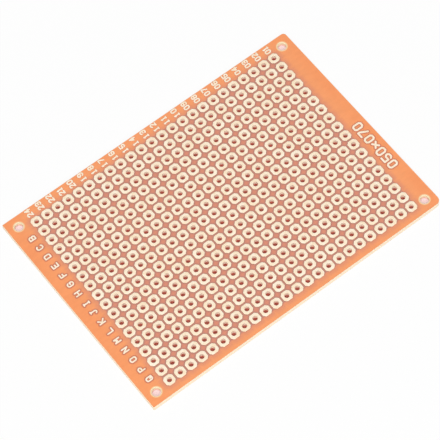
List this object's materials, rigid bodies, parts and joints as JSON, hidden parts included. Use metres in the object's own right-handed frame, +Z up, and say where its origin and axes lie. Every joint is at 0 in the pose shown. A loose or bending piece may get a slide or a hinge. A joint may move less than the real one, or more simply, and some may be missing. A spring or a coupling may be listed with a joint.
{
  "type": "prototype board",
  "caption": "Flat rectangular phenolic-paper board, punched with a regular grid of lead holes, each ringed on the upper face by a tinned octagonal solder pad, with a screw hole at each corner.",
  "frame": {"origin": "middle of the sheet's underside, on the surface that the board lies on", "axes": "+X along the long side, from the end with the row letters towards the other end; +Y across the board, towards the long edge with the column numbers; +Z up, out of the pad face"},
  "size_m": [0.0694, 0.0494, 0.0013],
  "materials": {
    "laminate": "lacquered phenolic-paper laminate, satin, paler at its cut edges",
    "tinned_copper": "tinned copper foil under a thin flux lacquer, satin"
  },
  "bodies": {
    "root": {"laminate": "laminate", "pad_column_01": "tinned_copper", "pad_column_02": "tinned_copper", "pad_column_03": "tinned_copper", "pad_column_04": "tinned_copper", "pad_column_05": "tinned_copper", "pad_column_06": "tinned_copper", "pad_column_07": "tinned_copper", "pad_column_08": "tinned_copper", "pad_column_09": "tinned_copper", "pad_column_10": "tinned_copper", "pad_column_11": "tinned_copper", "pad_column_12": "tinned_copper", "pad_column_13": "tinned_copper", "pad_column_14": "tinned_copper", "pad_column_15": "tinned_copper", "pad_column_16": "tinned_copper", "pad_column_17": "tinned_copper", "pad_column_18": "tinned_copper", "pad_column_19": "tinned_copper", "pad_column_20": "tinned_copper", "pad_column_21": "tinned_copper", "pad_column_22": "tinned_copper", "pad_column_23": "tinned_copper", "pad_column_24": "tinned_copper"}
  },
  "joints": []
}
